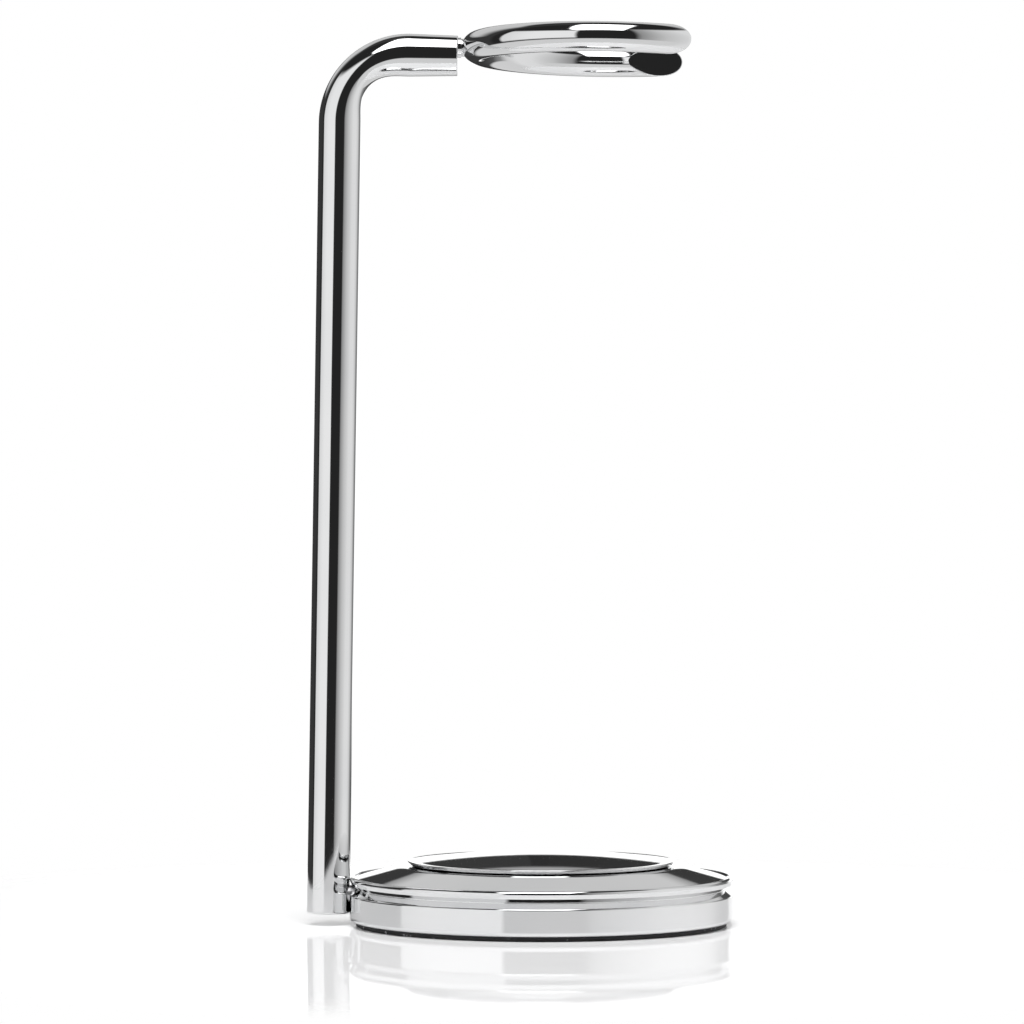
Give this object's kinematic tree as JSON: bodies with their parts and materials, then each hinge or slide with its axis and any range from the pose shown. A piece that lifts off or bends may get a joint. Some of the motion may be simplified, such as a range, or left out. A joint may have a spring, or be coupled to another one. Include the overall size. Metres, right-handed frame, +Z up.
{
  "type": "shaving brush stand",
  "caption": "Free-standing chrome stand that hangs a shaving brush in an open ring on a bent post over a weighted round base.",
  "frame": {"origin": "centre of the round base, on the floor under its foot pad", "axes": "+Z up; +X from the post towards the mouth of the ring, along the arm; +Y to the left when looking along +X"},
  "size_m": [0.0722, 0.065, 0.151],
  "materials": {
    "chrome_plate": "mirror-polished chrome plate",
    "ballast_steel": "turned, bare",
    "screw_steel": "zinc plated",
    "foot_rubber": "matt black with a fine grain"
  },
  "bodies": {
    "root": {"base_shell": "chrome_plate", "crown_disc": "chrome_plate", "ballast_plate": "ballast_steel", "foot_pad": "foot_rubber", "plate_screws": "screw_steel", "crown_screw": "screw_steel", "crown_washer": "screw_steel", "post_screw": "screw_steel", "post_washer": "screw_steel", "post": "chrome_plate", "ring_stud": "chrome_plate", "brush_ring": "chrome_plate"}
  },
  "joints": []
}
